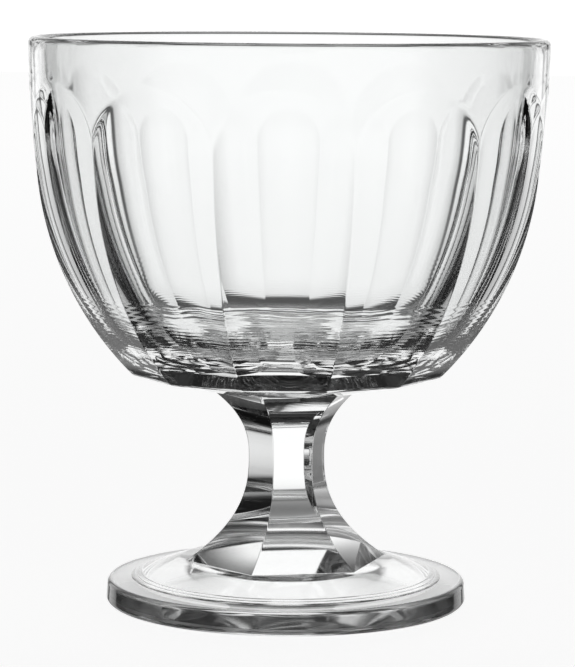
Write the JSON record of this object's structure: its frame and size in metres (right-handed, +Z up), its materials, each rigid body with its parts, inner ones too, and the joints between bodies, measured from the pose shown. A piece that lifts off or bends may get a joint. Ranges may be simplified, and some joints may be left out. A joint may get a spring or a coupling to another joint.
{
  "type": "footed dessert glass",
  "caption": "Clear pressed-glass dessert dish: round fluted bowl with a plain rim band, short waisted six-sided stem and round foot.",
  "frame": {"origin": "middle of the foot, on the surface that the glass stands on", "axes": "+Z up along the axis of the glass, towards the open rim; one flute of the bowl faces -Y"},
  "size_m": [0.1002, 0.1002, 0.1098],
  "materials": {
    "clear_glass": "fire-polished, clear and colourless"
  },
  "bodies": {
    "root": {"foot": "clear_glass", "stem": "clear_glass", "bowl": "clear_glass"}
  },
  "joints": []
}
